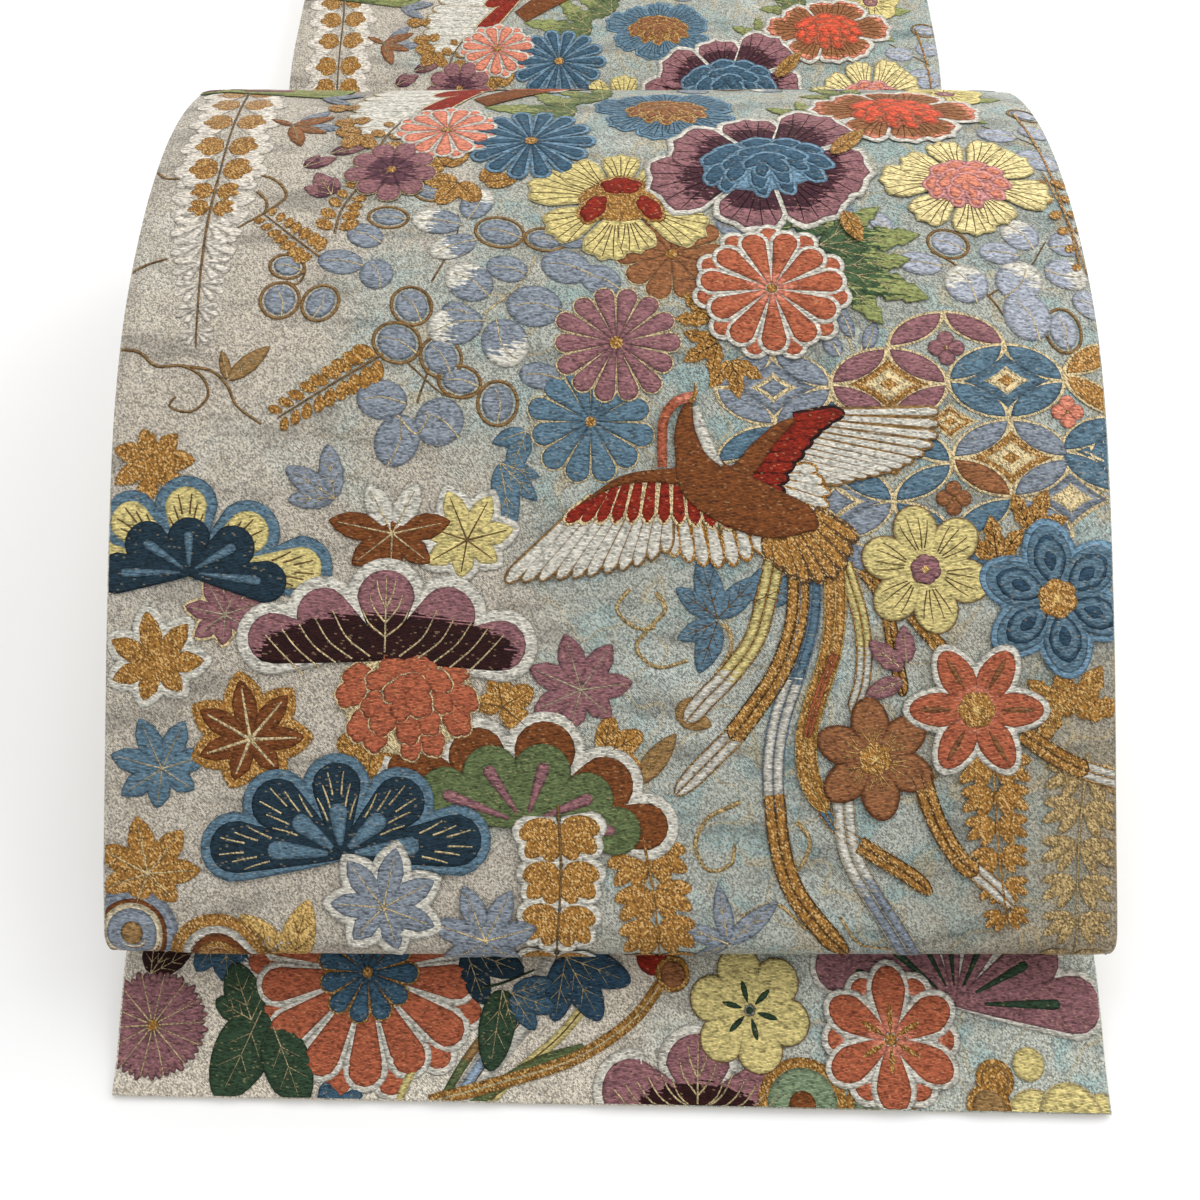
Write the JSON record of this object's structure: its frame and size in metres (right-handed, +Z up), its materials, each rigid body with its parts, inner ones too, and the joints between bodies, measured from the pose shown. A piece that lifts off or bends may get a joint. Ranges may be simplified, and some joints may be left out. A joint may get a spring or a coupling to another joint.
{
  "type": "obi sash",
  "caption": "Wide double-woven silk kimono sash folded in a drum loop, laid flat with its tail end in front and its spare length folded behind.",
  "frame": {"origin": "on the floor, under the middle of the whole sash's bounding box", "axes": "+X to the right across the cloth, +Y from the tail end away along the sash, +Z up"},
  "size_m": [0.3166, 0.6669, 0.1177],
  "materials": {
    "brocade": "silver and pale gold lame ground with raised satin-thread flowers, leaves and a phoenix, soft metallic sheen",
    "brocade_folded": "edges of the folded brocade and its plain silk back cloth"
  },
  "bodies": {
    "root": {"flap": "brocade", "drum": "brocade", "under_fold": "brocade", "away_run": "brocade", "folded_length": "brocade_folded"}
  },
  "joints": []
}
